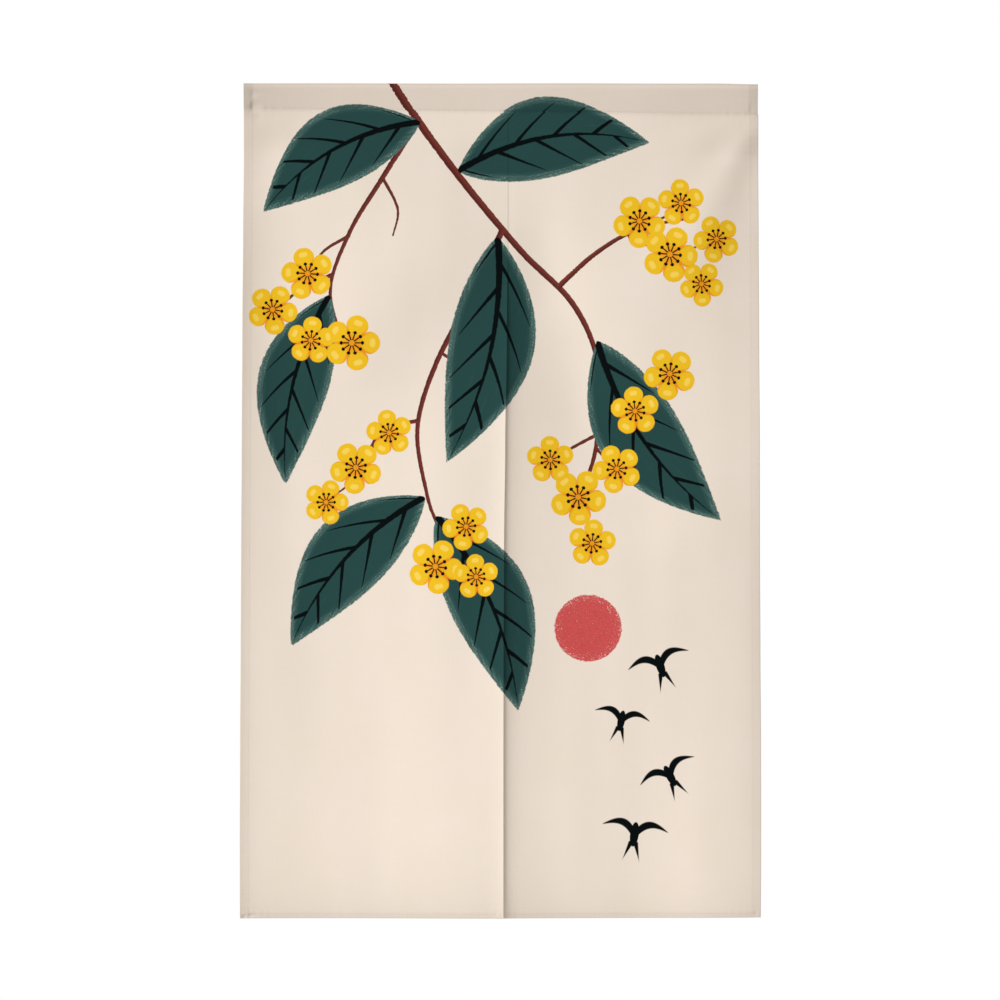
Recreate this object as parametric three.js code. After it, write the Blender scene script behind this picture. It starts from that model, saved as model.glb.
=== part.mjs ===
// A noren: a split doorway curtain of plain linen-like cloth, hanging at rest.
// Two hemmed panels meet in a slit, the left one lying over the right one, and a
// folded heading strip above them makes an open sleeve for a rod.
//
// Millimetres. +X is the viewer's right, +Y points away from the viewer, +Z is up.
// The origin is the middle of the top edge, on the line that a rod would carry.

import * as THREE from 'three';

// Cloth
const CLOTH = 1.2; // thickness of one layer
const HEM_EXTRA = 0.8; // what the pressed hem adds at the back
const SEWN_GAP = 0.3; // between pieces that are sewn together
const OVERLAP_GAP = 0.4; // between the panels where one lies on the other, folds and all
const SIDE_HEM = 15; // width of the hem at the outer sides
const SLIT_HEM = 12; // width of the hem along the slit, also the overlap
const BOTTOM_HEM = 9;

// Overall
const DROP = 1300; // top edge to bottom edge
const SEAM_LEFT = 39; // depth of the heading at the left end
const SEAM_RIGHT = 48; // and at the right end, where it is sewn lower
const HALF_WIDTH = 400;

// Heading sleeve
const SEAM_ALLOWANCE = 6; // the solid strip where both layers are sewn
const WALL_POINTS = 12; // points down each wall of the sleeve's section
const SLEEVE_STEPS = 30;
const FOLD_ROUND = 0.035; // share of the sleeve's height over which its fold rounds off
const LEFT_SWELL = -9; // the heading's front swells forward at its left end
const LEFT_SWELL_REACH = 45;
const RIGHT_TURN = 4; // and turns back at its right end
const RIGHT_TURN_REACH = 30;

// Slit
const SLIT_TOP = -238; // the panels are sewn together above this height
const FLAP_APART = 0.6; // extra air between the flaps below it
const FLAP_OPENS_OVER = 160; // height over which they come apart
const TUCK_REACH = 30; // how far right of the slit the right panel dips back
const LIP = 6.5; // how far both panels stand forward at the slit
const LIP_REACH = 18; // how fast that fades away from the slit on the right panel
const LIFT_REACH = 26; // and, with the flap's own lift, on the left panel

// The edges leave the cloth's plane: each depth fades away over its reach
const LEFT_CURL = -7; // forward
const LEFT_REACH = 20;
const LEFT_GROWS_OVER = 320; // height under the seam over which the left edge turns
const RIGHT_CURL = 6; // back
const RIGHT_REACH = 30;
const BOTTOM_CURL = 11; // back
const BOTTOM_REACH = 32;

// Below the heading the folds grow from flat over this height, the swelling of the
// heading's ends fades, and the cloth falls back from the seam and slowly returns
const FLAT_UNDER_SEAM = 70;
const SWELL_FADES = 60;
const FALL_REACH = 30;
const FALL_RETURNS = 120;

// Outline of the hanging cloth. The slit column is the left panel's free edge.
const OUTLINE = [
  { z: 0, left: -400.4, right: 400.3, slit: 11 },
  { z: -110, left: -400.8, right: 401.2, slit: 11 },
  { z: -238, left: -401.8, right: 401.8, slit: 11 },
  { z: -400, left: -402.9, right: 402.4, slit: 9.5 },
  { z: -560, left: -403.8, right: 403.2, slit: 7 },
  { z: -720, left: -404.7, right: 403.6, slit: 5.2 },
  { z: -880, left: -405.3, right: 404.4, slit: 4.5 },
  { z: -1040, left: -406.2, right: 405.4, slit: 4.2 },
  { z: -1180, left: -406.8, right: 405.6, slit: 4.2 },
  { z: -1300, left: -406.7, right: 405.3, slit: 4.2 },
];

// Soft folds. Each runs in a line from its top to its low point; its half width
// changes from topHalf to lowHalf, and depth is how far it goes back (a trough)
// or, when negative, comes forward (a ridge).
const FOLDS = [
  // the wide ridge along the slit, and the pull from the upper right corner
  { topX: -60, topZ: -420, lowX: -60, lowZ: -1460, topHalf: 110, lowHalf: 150, depth: -15 },
  { topX: 398, topZ: -45, lowX: 262, lowZ: -330, topHalf: 14, lowHalf: 60, depth: -4.5 },
  // the right side falls back under the corner
  { topX: 358, topZ: -60, lowX: 386, lowZ: -760, topHalf: 80, lowHalf: 80, depth: 3.5 },
  { topX: 366, topZ: -40, lowX: 468, lowZ: -320, topHalf: 60, lowHalf: 60, depth: 4.5 },
  { topX: 360, topZ: -60, lowX: 444, lowZ: -500, topHalf: 80, lowHalf: 80, depth: 8.5 },
  // right of the slit
  { topX: 44, topZ: -160, lowX: 150, lowZ: -600, topHalf: 40, lowHalf: 80, depth: 6 },
  { topX: -12, topZ: -300, lowX: 224, lowZ: -684, topHalf: 80, lowHalf: 80, depth: 6 },
  { topX: 130, topZ: -520, lowX: 176, lowZ: -1218, topHalf: 80, lowHalf: 80, depth: -2 },
  { topX: 230, topZ: -520, lowX: 214, lowZ: -720, topHalf: 80, lowHalf: 80, depth: 2.5 },
  { topX: 224, topZ: -900, lowX: 246, lowZ: -1600, topHalf: 80, lowHalf: 80, depth: 3.5 },
  // the right edge hangs further back lower down
  { topX: 440, topZ: -540, lowX: 440, lowZ: -1560, topHalf: 80, lowHalf: 80, depth: 5 },
  { topX: 440, topZ: -640, lowX: 440, lowZ: -1700, topHalf: 160, lowHalf: 160, depth: 8 },
  // upper left and middle
  { topX: -70, topZ: -100, lowX: 94, lowZ: -352, topHalf: 40, lowHalf: 80, depth: 4 },
  { topX: -84, topZ: -220, lowX: -256, lowZ: -466, topHalf: 80, lowHalf: 80, depth: -6 },
  { topX: -328, topZ: -40, lowX: -316, lowZ: -340, topHalf: 80, lowHalf: 80, depth: 3.5 },
  { topX: -352, topZ: -60, lowX: -398, lowZ: -192, topHalf: 44, lowHalf: 44, depth: 3 },
  // down the left side and along the slit
  { topX: -366, topZ: -160, lowX: -314, lowZ: -858, topHalf: 44, lowHalf: 44, depth: 2.5 },
  { topX: -385, topZ: -760, lowX: -372, lowZ: -1460, topHalf: 80, lowHalf: 80, depth: -4.5 },
  { topX: -8, topZ: -760, lowX: -68, lowZ: -1758, topHalf: 30, lowHalf: 60, depth: -2 },
];

// Along the heading: the half depth of the sleeve's wedge, as if it ran on to a
// sharp top, and how far the cloth falls back under the seam
const HEADING = [
  { x: -400, half: 10.8, fall: 5.5 },
  { x: -330, half: 10.4, fall: 5.5 },
  { x: -250, half: 9.6, fall: 1 },
  { x: -60, half: 8.8, fall: 0 },
  { x: 140, half: 10, fall: 0 },
  { x: 290, half: 13.6, fall: 9 },
  { x: 400, half: 13.2, fall: 8 },
];

// Where the grid lines of a panel run, as distances from its slit edge, its outer
// edge and its bottom edge
const ACROSS_INNER = [0, 5, SLIT_HEM, SLIT_HEM + 2, 20, 28, 40, 56];
const ACROSS_OUTER = [66, 48, 34, 24, SIDE_HEM + 1, SIDE_HEM, 9, 4, 0];
const ACROSS_MIDDLE_STEPS = 11;
const DOWN_STEPS = 40;
const DOWN_END = [60, 40, 26, 17, BOTTOM_HEM + 1, BOTTOM_HEM, 4, 0];
const ON_HEM = 0.1; // a grid line this close to the hem's edge belongs to it

function smooth(from, to, value) {
  return THREE.MathUtils.smoothstep(value, from, to);
}

// A value read from a table of rows by a smooth curve between them
function fromTable(rows, key, column, at) {
  const rising = rows[rows.length - 1][key] > rows[0][key] ? 1 : -1;
  const reached = rows.findIndex((row) => rising * (row[key] - at) >= 0);
  if (reached <= 0) {
    return reached === 0 ? rows[0][column] : rows[rows.length - 1][column];
  }
  const before = rows[reached - 1];
  const after = rows[reached];
  const share = (at - before[key]) / (after[key] - before[key]);
  return THREE.MathUtils.lerp(before[column], after[column], smooth(0, 1, share));
}

function seamHeight(x) {
  const share = (x + HALF_WIDTH) / (2 * HALF_WIDTH);
  return -THREE.MathUtils.lerp(SEAM_LEFT, SEAM_RIGHT, share);
}

// How far one fold moves the cloth at (x, z): a bell across the fold's line,
// which fades in at its top and out at its low point.
function foldShare(fold, x, z) {
  const alongX = fold.lowX - fold.topX;
  const alongZ = fold.lowZ - fold.topZ;
  const length = Math.hypot(alongX, alongZ);
  const along = ((x - fold.topX) * alongX + (z - fold.topZ) * alongZ) / (length * length);
  const across = ((x - fold.topX) * alongZ - (z - fold.topZ) * alongX) / length;
  const half = THREE.MathUtils.lerp(fold.topHalf, fold.lowHalf, THREE.MathUtils.clamp(along, 0, 1));
  const fade = smooth(-0.12, 0.22, along) * (1 - smooth(0.72, 1.15, along));
  return fold.depth * fade * Math.exp(-((across / half) ** 2));
}

// How far the outer and bottom edges leave the plane of the cloth
function edgeCurl(x, z) {
  const left = x - fromTable(OUTLINE, 'z', 'left', z);
  const right = fromTable(OUTLINE, 'z', 'right', z) - x;
  const turned = smooth(0, LEFT_GROWS_OVER, seamHeight(x) - z);
  return (
    LEFT_CURL * turned * Math.exp(-left / LEFT_REACH) +
    RIGHT_CURL * Math.exp(-right / RIGHT_REACH) +
    BOTTOM_CURL * Math.exp(-(z + DROP) / BOTTOM_REACH)
  );
}

// How far the front of the heading's ends leaves its line
function headingSwell(x) {
  const left = x - OUTLINE[0].left;
  const right = OUTLINE[0].right - x;
  return (
    LEFT_SWELL * Math.exp(-left / LEFT_SWELL_REACH) +
    RIGHT_TURN * Math.exp(-right / RIGHT_TURN_REACH)
  );
}

// The front face of the hanging cloth
function clothFront(x, z) {
  const down = seamHeight(x) - z;
  const loose = smooth(0, FLAT_UNDER_SEAM, down);
  const folds = FOLDS.reduce((sum, fold) => sum + foldShare(fold, x, z), 0);
  const fallen = (1 - Math.exp(-down / FALL_REACH)) * Math.exp(-down / FALL_RETURNS);
  const fall = fromTable(HEADING, 'x', 'fall', x) * fallen;
  const swell = headingSwell(x) * Math.exp(-down / SWELL_FADES);
  return -CLOTH / 2 + swell + fall + loose * (folds + edgeCurl(x, z));
}

// The panels' shift against each other beside the slit: where they are sewn the
// right one dips back, and further down the left one lifts forward instead.
function slitShift(side, x, z) {
  const beyond = x - fromTable(OUTLINE, 'z', 'slit', z);
  const open = smooth(0, FLAP_OPENS_OVER, SLIT_TOP - z);
  const sewn = CLOTH + HEM_EXTRA + OVERLAP_GAP;
  if (side === 'right') {
    const lip = -LIP * open * Math.exp(-Math.abs(beyond) / LIP_REACH);
    return lip + sewn * (1 - open) * (1 - smooth(2, TUCK_REACH, beyond));
  }
  return -(sewn + FLAP_APART + LIP) * open * Math.exp(beyond / LIFT_REACH);
}

// A closed solid between two faces given as grids of points, front and back,
// rows from the top down and columns from left to right.
function gridSolid(front, back) {
  const rows = front.length;
  const columns = front[0].length;
  const points = [...front.flat(), ...back.flat()];
  const faces = [];
  const at = (face, row, column) => (face * rows + row) * columns + column;
  const quad = (a, b, c, d) => faces.push(a, b, c, a, c, d);
  for (let row = 0; row < rows - 1; row += 1) {
    for (let column = 0; column < columns - 1; column += 1) {
      quad(at(0, row, column), at(0, row + 1, column), at(0, row + 1, column + 1), at(0, row, column + 1));
      quad(at(1, row, column), at(1, row, column + 1), at(1, row + 1, column + 1), at(1, row + 1, column));
    }
    const last = columns - 1;
    quad(at(0, row, 0), at(1, row, 0), at(1, row + 1, 0), at(0, row + 1, 0));
    quad(at(0, row, last), at(0, row + 1, last), at(1, row + 1, last), at(1, row, last));
  }
  for (let column = 0; column < columns - 1; column += 1) {
    const last = rows - 1;
    quad(at(0, 0, column), at(0, 0, column + 1), at(1, 0, column + 1), at(1, 0, column));
    quad(at(0, last, column), at(1, last, column), at(1, last, column + 1), at(0, last, column + 1));
  }
  return solidGeometry(points, faces);
}

// A closed solid of a wall between an outer and an inner loop, carried along
// the sections from left to right; both ends stay open.
function sleeveSolid(sections) {
  const count = sections[0].outer.length;
  const points = sections.flatMap((section) => [...section.outer, ...section.inner]);
  const faces = [];
  const at = (section, wall, point) => (section * 2 + wall) * count + (point % count);
  const quad = (a, b, c, d) => faces.push(a, b, c, a, c, d);
  const end = sections.length - 1;
  for (let point = 0; point < count; point += 1) {
    const next = point + 1;
    for (let section = 0; section < end; section += 1) {
      quad(
        at(section, 0, point), at(section, 0, next), at(section + 1, 0, next), at(section + 1, 0, point),
      );
      quad(
        at(section, 1, point), at(section + 1, 1, point), at(section + 1, 1, next), at(section, 1, next),
      );
    }
    quad(at(0, 0, point), at(0, 1, point), at(0, 1, next), at(0, 0, next));
    quad(at(end, 0, point), at(end, 0, next), at(end, 1, next), at(end, 1, point));
  }
  return solidGeometry(points, faces);
}

function solidGeometry(points, faces) {
  const geometry = new THREE.BufferGeometry();
  geometry.setAttribute('position', new THREE.Float32BufferAttribute(points.flat(), 3));
  geometry.setIndex(faces);
  geometry.computeVertexNormals();
  return geometry;
}

// Shares of a panel's width at which its grid columns stand, from its slit edge
function columnShares(width) {
  const inner = ACROSS_INNER.map((distance) => distance / width);
  const outer = ACROSS_OUTER.map((distance) => 1 - distance / width);
  const from = inner[inner.length - 1];
  const to = outer[0];
  const middle = [];
  for (let step = 1; step < ACROSS_MIDDLE_STEPS; step += 1) {
    middle.push(THREE.MathUtils.lerp(from, to, step / ACROSS_MIDDLE_STEPS));
  }
  return [...inner, ...middle, ...outer];
}

function rowShares() {
  const height = DROP - (SEAM_LEFT + SEAM_RIGHT) / 2;
  const end = DOWN_END.map((distance) => 1 - distance / height);
  const shares = [];
  for (let step = 0; step < DOWN_STEPS; step += 1) {
    shares.push((end[0] * step) / DOWN_STEPS);
  }
  return [...shares, ...end];
}

// The panel on one side, from its slit edge to its outer edge
function panelGeometry(side) {
  const width = HALF_WIDTH + SLIT_HEM;
  const shares = columnShares(width);
  const overlap = side === 'left' ? 0 : SLIT_HEM;
  const ordered = side === 'left' ? [...shares].reverse() : shares;
  const front = [];
  const back = [];
  for (const down of rowShares()) {
    const level = THREE.MathUtils.lerp(seamHeight(0), -DROP, down);
    const slitX = fromTable(OUTLINE, 'z', 'slit', level) - overlap;
    const outerX = fromTable(OUTLINE, 'z', side, level);
    const frontRow = [];
    const backRow = [];
    for (const share of ordered) {
      const x = THREE.MathUtils.lerp(slitX, outerX, share);
      const z = THREE.MathUtils.lerp(seamHeight(x) - SEWN_GAP, -DROP, down);
      const y = clothFront(x, z) + slitShift(side, x, z);
      const nearest = Math.min(
        share * width - SLIT_HEM,
        (1 - share) * width - SIDE_HEM,
        z + DROP - BOTTOM_HEM,
      );
      const hem = nearest < ON_HEM ? HEM_EXTRA : 0;
      frontRow.push([x, y, z]);
      backRow.push([x, y + CLOTH + hem, z]);
    }
    front.push(frontRow);
    back.push(backRow);
  }
  return gridSolid(front, back);
}

// Half the depth of the hanging sleeve at a share of its height: a straight wedge
// that closes at the seam, rounded off at the top fold
function sleeveWedge(down) {
  return (1 - down) * (1 - Math.exp(-down / FOLD_ROUND));
}

// One loop of the sleeve's section, down the front and up the back. Its walls
// stay at least twice the least half depth apart, also at the seam. The front one
// swells with the heading's ends, and the back one joins it at the seam.
function sleeveLoop(x, topZ, lowZ, half, least) {
  const swell = headingSwell(x);
  const front = [];
  const back = [];
  for (let step = 1; step <= WALL_POINTS; step += 1) {
    const down = (1 - Math.cos((Math.PI * step) / WALL_POINTS)) / 2;
    const depth = Math.max(half * sleeveWedge(down), least);
    const z = THREE.MathUtils.lerp(topZ, lowZ, down);
    const joined = smooth(0.5, 1, z / seamHeight(x));
    front.push([x, swell - depth, z]);
    back.unshift([x, swell * joined + depth, z]);
  }
  return [[x, swell / 2, topZ], ...front, ...back];
}

function sleeveGeometry() {
  const sections = [];
  for (let step = 0; step <= SLEEVE_STEPS; step += 1) {
    const x = THREE.MathUtils.lerp(OUTLINE[0].left, OUTLINE[0].right, step / SLEEVE_STEPS);
    const half = fromTable(HEADING, 'x', 'half', x);
    const seam = seamHeight(x);
    sections.push({
      outer: sleeveLoop(x, 0, seam, half, CLOTH),
      inner: sleeveLoop(x, -CLOTH, seam + SEAM_ALLOWANCE, half - CLOTH, SEWN_GAP / 2),
    });
  }
  return sleeveSolid(sections);
}

const cloth = new THREE.MeshStandardMaterial({ color: '#e9dccb', roughness: 0.9, metalness: 0 });
const headingCloth = new THREE.MeshStandardMaterial({ color: '#dacdc0', roughness: 0.9, metalness: 0 });

function namedMesh(name, geometry, material) {
  const mesh = new THREE.Mesh(geometry, material);
  mesh.name = name;
  return mesh;
}

const noren = new THREE.Group();
noren.add(
  namedMesh('heading_sleeve', sleeveGeometry(), headingCloth),
  namedMesh('left_panel', panelGeometry('left'), cloth),
  namedMesh('right_panel', panelGeometry('right'), cloth),
);

export default noren;
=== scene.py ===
import bpy
import numpy as np
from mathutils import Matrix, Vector


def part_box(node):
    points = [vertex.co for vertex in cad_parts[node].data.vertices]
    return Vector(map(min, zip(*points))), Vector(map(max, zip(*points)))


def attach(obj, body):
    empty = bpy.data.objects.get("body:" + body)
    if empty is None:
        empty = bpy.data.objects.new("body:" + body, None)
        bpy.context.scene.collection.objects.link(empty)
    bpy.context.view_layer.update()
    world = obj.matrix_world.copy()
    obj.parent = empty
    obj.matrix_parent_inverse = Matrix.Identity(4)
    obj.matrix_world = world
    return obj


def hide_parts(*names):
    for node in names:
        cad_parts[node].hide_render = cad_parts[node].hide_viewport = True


bl_info = {
    "name": "Noren curtain",
    "version": (1, 0, 0),
    "blender": (4, 5, 0),
    "location": "3D View > Sidebar > Noren",
    "description": "Makes a split doorway curtain of printed cloth, with its hems and stitching",
    "category": "Object",
}

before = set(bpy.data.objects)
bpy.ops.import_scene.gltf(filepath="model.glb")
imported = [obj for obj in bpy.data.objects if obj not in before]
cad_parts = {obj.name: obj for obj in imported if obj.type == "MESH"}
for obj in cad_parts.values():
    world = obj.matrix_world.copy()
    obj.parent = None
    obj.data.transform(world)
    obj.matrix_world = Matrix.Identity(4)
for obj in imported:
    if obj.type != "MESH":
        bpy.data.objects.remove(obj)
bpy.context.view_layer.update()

# Sizes are in millimetres until a mesh is made. x runs to the viewer's right from the middle of
# the heading, z up from the top edge, and y away from the viewer.
MM = 0.001
LEFT, RIGHT = "left", "right"


def box_mm(node):
    """Lowest and highest corner of a node of the frame, in millimetres."""
    low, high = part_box(node)
    return np.array(low) / MM, np.array(high) / MM


HEADING_LOW, HEADING_HIGH = box_mm("heading_sleeve")
LEFT_LOW, LEFT_HIGH = box_mm("left_panel")

SIDE_HEM = 15.0
SLIT_HEM = 12.0
BOTTOM_HEM = 9.0

# From the top edge to the bottom, and to the heading's seam at its two ends. A panel's top lies a
# little under the seam.
SEAM_GAP = 0.3
DROP = -LEFT_LOW[2]
SEAM_LEFT = -LEFT_HIGH[2] - SEAM_GAP
SEAM_RIGHT = -HEADING_LOW[2]
HALF_WIDTH = 400.0
PANEL_WIDTH = HALF_WIDTH + SLIT_HEM
PANEL_HEIGHT = DROP - (SEAM_LEFT + SEAM_RIGHT) / 2

# y of the cloth's front face where it is flat, and the height under the seam over which folds grow
FRONT_OFFSET = -0.6
FLAT_UNDER_SEAM = 70.0

# The slit: below its top both flaps stand forward beside it, the left one further. Above it the panels
# are sewn, and the right one dips behind the left one, which is thin there.
SLIT_TOP = -238.0
FLAP_OPENS_OVER = 160.0
LEFT_LIFT, LEFT_LIFT_REACH = 9.5, 26.0
RIGHT_LIFT, RIGHT_LIFT_REACH = 6.5, 18.0
SEWN_TUCK = 0.3
SEWN_THICKNESS = 0.18
TUCK_REACH = 14.0
FLAPS_APART = 0.12

# How far in from the cloth's outermost edge its rounding goes, and its stitches from a hem's inner edge
ROUND_REACH = 0.9
STITCH_INSET = 1.8

# How far the edges leave the cloth's plane, each fading over its reach
LEFT_CURL, LEFT_REACH, LEFT_GROWS_OVER = -7.0, 20.0, 320.0
RIGHT_CURL, RIGHT_REACH = 6.0, 30.0
BOTTOM_CURL, BOTTOM_REACH = 11.0, 32.0

# The heading's front swells forward at its left end and turns back at its right one. Under the seam
# this fades, and the cloth falls back and slowly returns.
LEFT_SWELL, LEFT_SWELL_REACH = -9.0, 45.0
RIGHT_TURN, RIGHT_TURN_REACH = 4.0, 30.0
SWELL_FADES = 60.0
FALL_REACH, FALL_RETURNS = 30.0, 120.0
# The fold over the sleeve's top: the share of the height over which it closes, and the cloth that lies
# over it, measured flat
FOLD_ROUND = 0.035
# The heading's back lies this far behind the panels and this much lower at the seam. The top edge waves
# a little, and sinks at its right end.
BACK_BEHIND, BACK_LOWER = 0.5, 2.0
TOP_WAVE, TOP_WAVE_SPREAD, TOP_SINKS = 0.2, 57.0, 1.4

# Ripples that the needle leaves: their two lengths, their depth and how far they reach from the seam
PUCKER_LONG, PUCKER_SHORT, PUCKER_DEPTH, PUCKER_REACH = 11.3, 7.1, 0.13, 6.0

# Painted shade: how much darker the cloth is painted in places, against 1 for the heading's double cloth
SIDE_TONE, BOTTOM_TONE, SLIT_TONE, CORNER_TONE, LOWER_LEFT_SHADE = 0.22, 0.45, 0.10, 0.7, 0.3
HEADING_HEM_TONE, CREASE_TONE = 0.9, 1.6

# Outline of the hanging cloth: x of the outer edges and of the left flap's free edge, by the drop from
# the top edge
OUTLINE = {
    "drop": (0, 110, 238, 400, 560, 720, 880, 1040, 1180, 1300),
    LEFT: (-400.4, -400.8, -401.8, -402.9, -403.8, -404.7, -405.3, -406.2, -406.8, -406.7),
    RIGHT: (400.3, 401.2, 401.8, 402.4, 403.2, 403.6, 404.4, 405.4, 405.6, 405.3),
    "slit": (11, 11, 11, 9.5, 7, 5.2, 4.5, 4.2, 4.2, 4.2),
}
# and where these edges lie on the flat cloth
FLAT_SLIT = 8.0
FLAT_SIDE = 405.0

# Soft folds: x and z of the top and of the low point, half width at each, and depth, which goes back
# where it is positive
FOLDS = (
    (-60, -420, -60, -1460, 110, 150, -15),
    (398, -45, 262, -330, 14, 60, -4.5),
    (358, -60, 386, -760, 80, 80, 3.5),
    (366, -40, 468, -320, 60, 60, 4.5),
    (360, -60, 444, -500, 80, 80, 8.5),
    (44, -160, 150, -600, 40, 80, 6),
    (-12, -300, 224, -684, 80, 80, 6),
    (130, -520, 176, -1218, 80, 80, -2),
    (230, -520, 214, -720, 80, 80, 2.5),
    (224, -900, 246, -1600, 80, 80, 3.5),
    (440, -540, 440, -1560, 80, 80, 5),
    (440, -640, 440, -1700, 160, 160, 8),
    (-70, -100, 94, -352, 40, 80, 4),
    (-84, -220, -256, -466, 80, 80, -6),
    (-328, -40, -316, -340, 80, 80, 3.5),
    (-352, -60, -398, -192, 44, 44, 3),
    (-366, -160, -314, -858, 44, 44, 2.5),
    (-385, -760, -372, -1460, 80, 80, -4.5),
    (-8, -760, -68, -1758, 30, 60, -2),
)
# Small dimples where a thick corner of hem is caught by the needle: x and z, half width to the left
# and to the right, half height and depth
DIMPLES = (
    (-387, -36, 2.6, 10, 7, 2.0),
    (-387, -17, 2.8, 9, 5, 1.0),
    (-378, -52, 7, 7, 9, 0.6),
    (389, -41, 3, 8, 8, 0.6),
    (379, -60, 7, 7, 10, 0.2),
    (-400, -1297, 2.2, 3, 2.6, 1.4),
    (-390, -1295, 2.8, 6, 2.6, 1.2),
    (395, -1294, 3, 5, 3, 0.6),
    (11, -247, 3, 3, 8, 0.5),
)
# Along the heading: the half depth of the sleeve's wedge, as if it ran on to a sharp top, how far the
# cloth falls back under the seam, and how much painted shade darkens the double cloth
HEADING = {
    "x": (-400, -330, -250, -60, 140, 290, 400),
    "half": (10.8, 10.4, 9.6, 8.8, 10, 13.6, 13.2),
    "fall": (5.5, 5.5, 1, 0, 0, 9, 8),
    "tone": (1, 0.95, 0.75, 0.7, 0.85, 1, 1),
}

# The print, in millimetres across from the middle and down from the top edge. Leaves as base, tip,
# half width and bend of the midrib.
LEAVES = (
    ((-130, 60), (-374, 200), 60, 30),
    ((-70, 136), (232, 92), 63, -32),
    ((-8, 240), (-84, 590), 67, -28),
    ((150, 402), (344, 680), 65, 28),
    ((-270, 330), (-336, 624), 56, 24),
    ((-118, 644), (-326, 876), 62, 28),
    ((-98, 674), (30, 976), 64, -26),
)
# Branches as half width at the start and at the end, and the places that each one runs through. The
# bough starts behind the top fold.
BRANCHES = {
    "bough": (
        (7.1, 2.8, (-216, -66), (-180, -14), (-120, 76), (-50, 168), (30, 262), (112, 344), (152, 440),
         (150, 560), (128, 640)),
    ),
    "limb": (
        (4.6, 2.0, (-132, 58), (-190, 150), (-238, 230), (-268, 318), (-250, 400)),
        (5.0, 2.4, (0, 226), (-48, 330), (-104, 440), (-130, 540), (-114, 640), (-96, 690)),
        (4.4, 2.0, (86, 318), (150, 262), (216, 226), (292, 210)),
    ),
    "twig": (
        (3.2, 1.6, (-262, 296), (-310, 318), (-352, 350)),
        (3.4, 1.6, (-126, 524), (-180, 540), (-222, 592)),
        (3.2, 1.6, (150, 470), (214, 478), (262, 452)),
        (2.8, 1.4, (-238, 236), (-280, 262), (-302, 300)),
        (2.6, 1.6, (216, 226), (282, 196)),
        (3.0, 1.4, (196, 236), (262, 262), (336, 246)),
        (2.4, 1.4, (236, 252), (312, 312)),
        (2.8, 1.2, (-188, 146), (-164, 196), (-172, 240)),
        (2.4, 1.2, (-94, 420), (-56, 446), (-40, 482)),
        (2.4, 1.6, (196, 478), (214, 506)),
        (2.8, 1.8, (148, 566), (178, 600)),
        (2.8, 1.6, (148, 548), (104, 572), (82, 588)),
        (2.8, 1.6, (128, 640), (142, 712)),
        (2.6, 1.4, (-196, 552), (-214, 604), (-268, 648)),
        (2.8, 1.6, (-96, 690), (-98, 748)),
    ),
}
# Blossoms as x, down, radius and turn in degrees, in three layers that lie over each other
BLOSSOMS = {
    "blossom_1": ((-358, 352, 40, 10), (-234, 404, 45, 0), (216, 214, 43, 20), (338, 242, 38, 30),
                  (264, 452, 42, 25), (122, 644, 45, 12), (-226, 598, 42, 22), (-100, 752, 44, 8)),
    "blossom_2": ((-304, 296, 42, 40), (282, 186, 38, 50), (314, 312, 36, 15), (210, 510, 39, 48),
                  (182, 600, 39, 30), (144, 716, 38, 60), (-174, 544, 37, 44), (-272, 652, 36, 0),
                  (-52, 690, 38, 30)),
    "blossom_3": ((-298, 400, 38, 60), (264, 266, 45, 5), (78, 586, 38, 52), (-36, 768, 36, 50)),
}
# Birds as x, down, half span and turn, and the sun as x, down, radius and turn
BIRDS = {
    "bird_1": ((248, 902, 50, -18), (262, 1074, 48, -28)),
    "bird_2": ((190, 988, 44, 12), (210, 1164, 52, 8)),
}
SUN = (138, 848, 52, 0)
FAR = 9999.0


def smooth(low, high, value):
    """Rises from 0 at low to 1 at high, flat at both ends."""
    share = np.clip((value - low) / (high - low), 0, 1)
    return share * share * (3 - 2 * share)


def by_table(keys, values, at):
    """A smooth value at any key between the rows of a table, each step of it eased at both ends."""
    keys, values = np.asarray(keys, float), np.asarray(values, float)
    after = np.clip(np.searchsorted(keys, at), 1, len(keys) - 1)
    share = smooth(keys[after - 1], keys[after], at)
    return values[after - 1] + (values[after] - values[after - 1]) * share


def outline(edge, z):
    """x of one of the hanging cloth's upright edges at a height."""
    return by_table(OUTLINE["drop"], OUTLINE[edge], -z)


def along_heading(column, x):
    """One column of the heading's table at any x."""
    return by_table(HEADING["x"], HEADING[column], x)


def seam_height(x):
    """Height of the line that closes the heading, a little lower at the right."""
    return -(SEAM_LEFT + (SEAM_RIGHT - SEAM_LEFT) * (x + HALF_WIDTH) / (2 * HALF_WIDTH))


def fold_depth(x, z):
    """Sum of the folds: each a bell across its line, fading in at its top and out at its low point."""
    total = np.zeros_like(x)
    for top_x, top_z, low_x, low_z, top_half, low_half, depth in FOLDS:
        run_x, run_z = low_x - top_x, low_z - top_z
        length = np.hypot(run_x, run_z)
        along = ((x - top_x) * run_x + (z - top_z) * run_z) / length**2
        across = ((x - top_x) * run_z - (z - top_z) * run_x) / length
        half = top_half + (low_half - top_half) * np.clip(along, 0, 1)
        fade = smooth(-0.12, 0.22, along) * (1 - smooth(0.72, 1.15, along))
        total += depth * fade * np.exp(-((across / half) ** 2))
    return total


def dimples(x, z):
    """Sum of the small dents in the cloth, each a bell in both directions, of two widths across."""
    total = np.zeros_like(x)
    for dent_x, dent_z, left_half, right_half, half_z, depth in DIMPLES:
        half_x = np.where(x < dent_x, left_half, right_half)
        total += depth * np.exp(-(((x - dent_x) / half_x) ** 2) - ((z - dent_z) / half_z) ** 2)
    return total


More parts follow.
